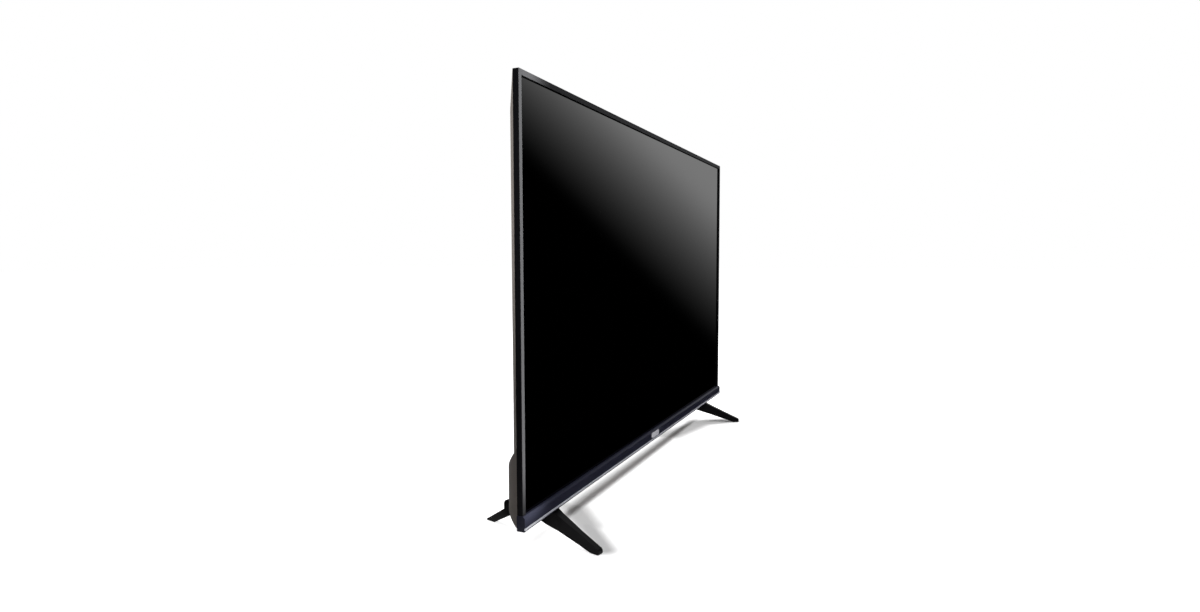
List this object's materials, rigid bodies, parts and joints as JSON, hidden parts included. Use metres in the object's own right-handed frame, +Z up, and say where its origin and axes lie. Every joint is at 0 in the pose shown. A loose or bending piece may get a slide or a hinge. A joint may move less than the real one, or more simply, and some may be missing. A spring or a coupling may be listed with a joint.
{
  "type": "flat screen tv",
  "caption": "Flat screen television with a thin frame, a deeper glossy bar below the glass, a moulded back cover and two inverted-V legs.",
  "frame": {"origin": "middle of the footprint on the floor, below the middle of the screen", "axes": "+X to the right as seen from the front, +Y from the screen to the back, +Z up"},
  "size_m": [1.115, 0.2358, 0.703],
  "materials": {
    "frame_grey": "satin",
    "chin_gloss": "gloss",
    "strip_silver": "satin",
    "window_dark": "gloss",
    "board_green": "satin",
    "foam_black": "matte",
    "screen_black": "gloss",
    "inner_black": "matte",
    "sheet_clear": "satin",
    "reflector_white": "matte",
    "tray_steel": "satin",
    "led_board": "satin",
    "lens_clear": "gloss",
    "flex_amber": "satin",
    "brass_zinc": "satin",
    "steel": "satin",
    "aluminium": "satin",
    "ferrite": "matte",
    "can_silver": "satin",
    "wire": "satin",
    "cover_taupe": "matte",
    "leg_gloss": "gloss",
    "pad_rubber": "matte",
    "key_black": "satin",
    "cone_paper": "matte"
  },
  "bodies": {
    "television": {"bezel_frame": "frame_grey", "chin_bar": "chin_gloss", "chin_strip": "strip_silver", "sensor_window": "window_dark", "sensor_board": "board_green", "panel_gasket": "foam_black", "lcd_cell": "screen_black", "panel_frame": "inner_black", "prism_sheet": "sheet_clear", "diffuser_film": "sheet_clear", "diffuser_plate": "sheet_clear", "reflector_sheet": "reflector_white", "diffuser_posts": "lens_clear", "led_strips": "led_board", "led_lenses": "lens_clear", "backlight_tray": "tray_steel", "panel_flexes": "flex_amber", "source_boards": "board_green", "panel_ribbons": "flex_amber", "timing_board": "board_green", "main_board": "board_green", "power_board": "board_green", "board_standoffs": "brass_zinc", "board_screws": "steel", "processor_heatsink": "aluminium", "power_heatsinks": "aluminium", "power_transformers": "ferrite", "power_capacitors": "can_silver", "power_harness": "wire", "wifi_module": "tray_steel", "hdmi_sockets": "steel", "usb_sockets": "steel", "lan_socket": "inner_black", "antenna_socket": "steel", "av_jack": "inner_black", "optical_socket": "inner_black", "ac_inlet": "inner_black", "ac_inlet_pins": "brass_zinc", "key_board": "board_green", "key_switches": "inner_black", "speaker_left": "inner_black", "speaker_right": "inner_black", "speaker_cones": "cone_paper", "rear_cover": "cover_taupe", "cover_screws": "steel", "wall_mount_posts": "steel", "stand_brackets": "steel", "leg_left": "leg_gloss", "leg_right": "leg_gloss", "foot_pads": "pad_rubber", "leg_screws": "steel"},
    "shutter": {"optical_shutter": "key_black"},
    "key_power_button": {"key_power": "key_black"},
    "key_source_button": {"key_source": "key_black"},
    "key_menu_button": {"key_menu": "key_black"},
    "key_channel_button": {"key_channel": "key_black"},
    "key_volume_up_button": {"key_volume_up": "key_black"},
    "key_volume_down_button": {"key_volume_down": "key_black"}
  },
  "joints": [
    {"name": "key_power_press", "type": "slide", "parent": "television", "child": "key_power_button", "axis": [0, -1, 0], "range_m": [0, 0.0006], "stiffness_N_per_m": 400, "springref_m": -0.0005},
    {"name": "key_source_press", "type": "slide", "parent": "television", "child": "key_source_button", "axis": [0, -1, 0], "range_m": [0, 0.0006], "stiffness_N_per_m": 400, "springref_m": -0.0005},
    {"name": "key_menu_press", "type": "slide", "parent": "television", "child": "key_menu_button", "axis": [0, -1, 0], "range_m": [0, 0.0006], "stiffness_N_per_m": 400, "springref_m": -0.0005},
    {"name": "key_channel_press", "type": "slide", "parent": "television", "child": "key_channel_button", "axis": [0, -1, 0], "range_m": [0, 0.0006], "stiffness_N_per_m": 400, "springref_m": -0.0005},
    {"name": "key_volume_up_press", "type": "slide", "parent": "television", "child": "key_volume_up_button", "axis": [0, -1, 0], "range_m": [0, 0.0006], "stiffness_N_per_m": 400, "springref_m": -0.0005},
    {"name": "key_volume_down_press", "type": "slide", "parent": "television", "child": "key_volume_down_button", "axis": [0, -1, 0], "range_m": [0, 0.0006], "stiffness_N_per_m": 400, "springref_m": -0.0005},
    {"name": "shutter_hinge", "type": "hinge", "parent": "television", "child": "shutter", "pos_m": [0.1855, 0.011, 0.1588], "axis": [0, 1, 0], "range_deg": [0, 75], "stiffness_Nm_per_rad": 0.0002, "springref_deg": -11.46}
  ]
}
